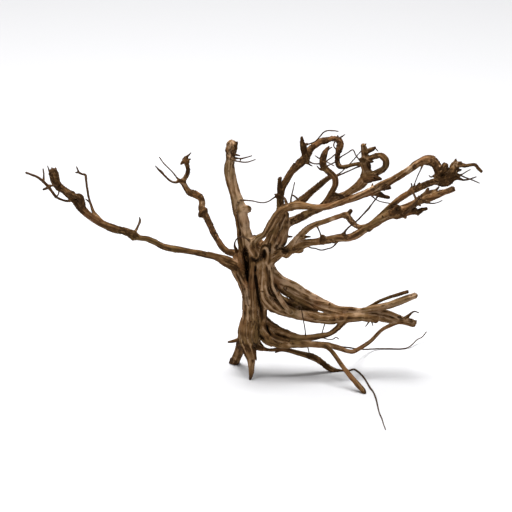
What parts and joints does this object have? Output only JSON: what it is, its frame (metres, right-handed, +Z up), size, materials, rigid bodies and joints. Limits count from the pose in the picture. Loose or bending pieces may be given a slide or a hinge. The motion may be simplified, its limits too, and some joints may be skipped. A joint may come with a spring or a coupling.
{
  "type": "branched driftwood root",
  "caption": "Gnarled piece of branched driftwood: a fluted trunk on spreading roots, with twisted arms and fine twigs, for an aquarium, terrarium or display.",
  "frame": {"origin": "on the ground, in the middle of the wood's footprint box", "axes": "+Z up, +X along the wood's greatest reach, towards the crown and the spreading roots, and the pictured side faces -Y"},
  "size_m": [0.5926, 0.3358, 0.3428],
  "materials": {
    "weathered_wood": "bare weathered brown root wood, tan where it is rubbed pale, dark in its cracks and knots, with a fine streaky grain along each limb"
  },
  "bodies": {
    "root": {"driftwood": "weathered_wood"}
  },
  "joints": []
}
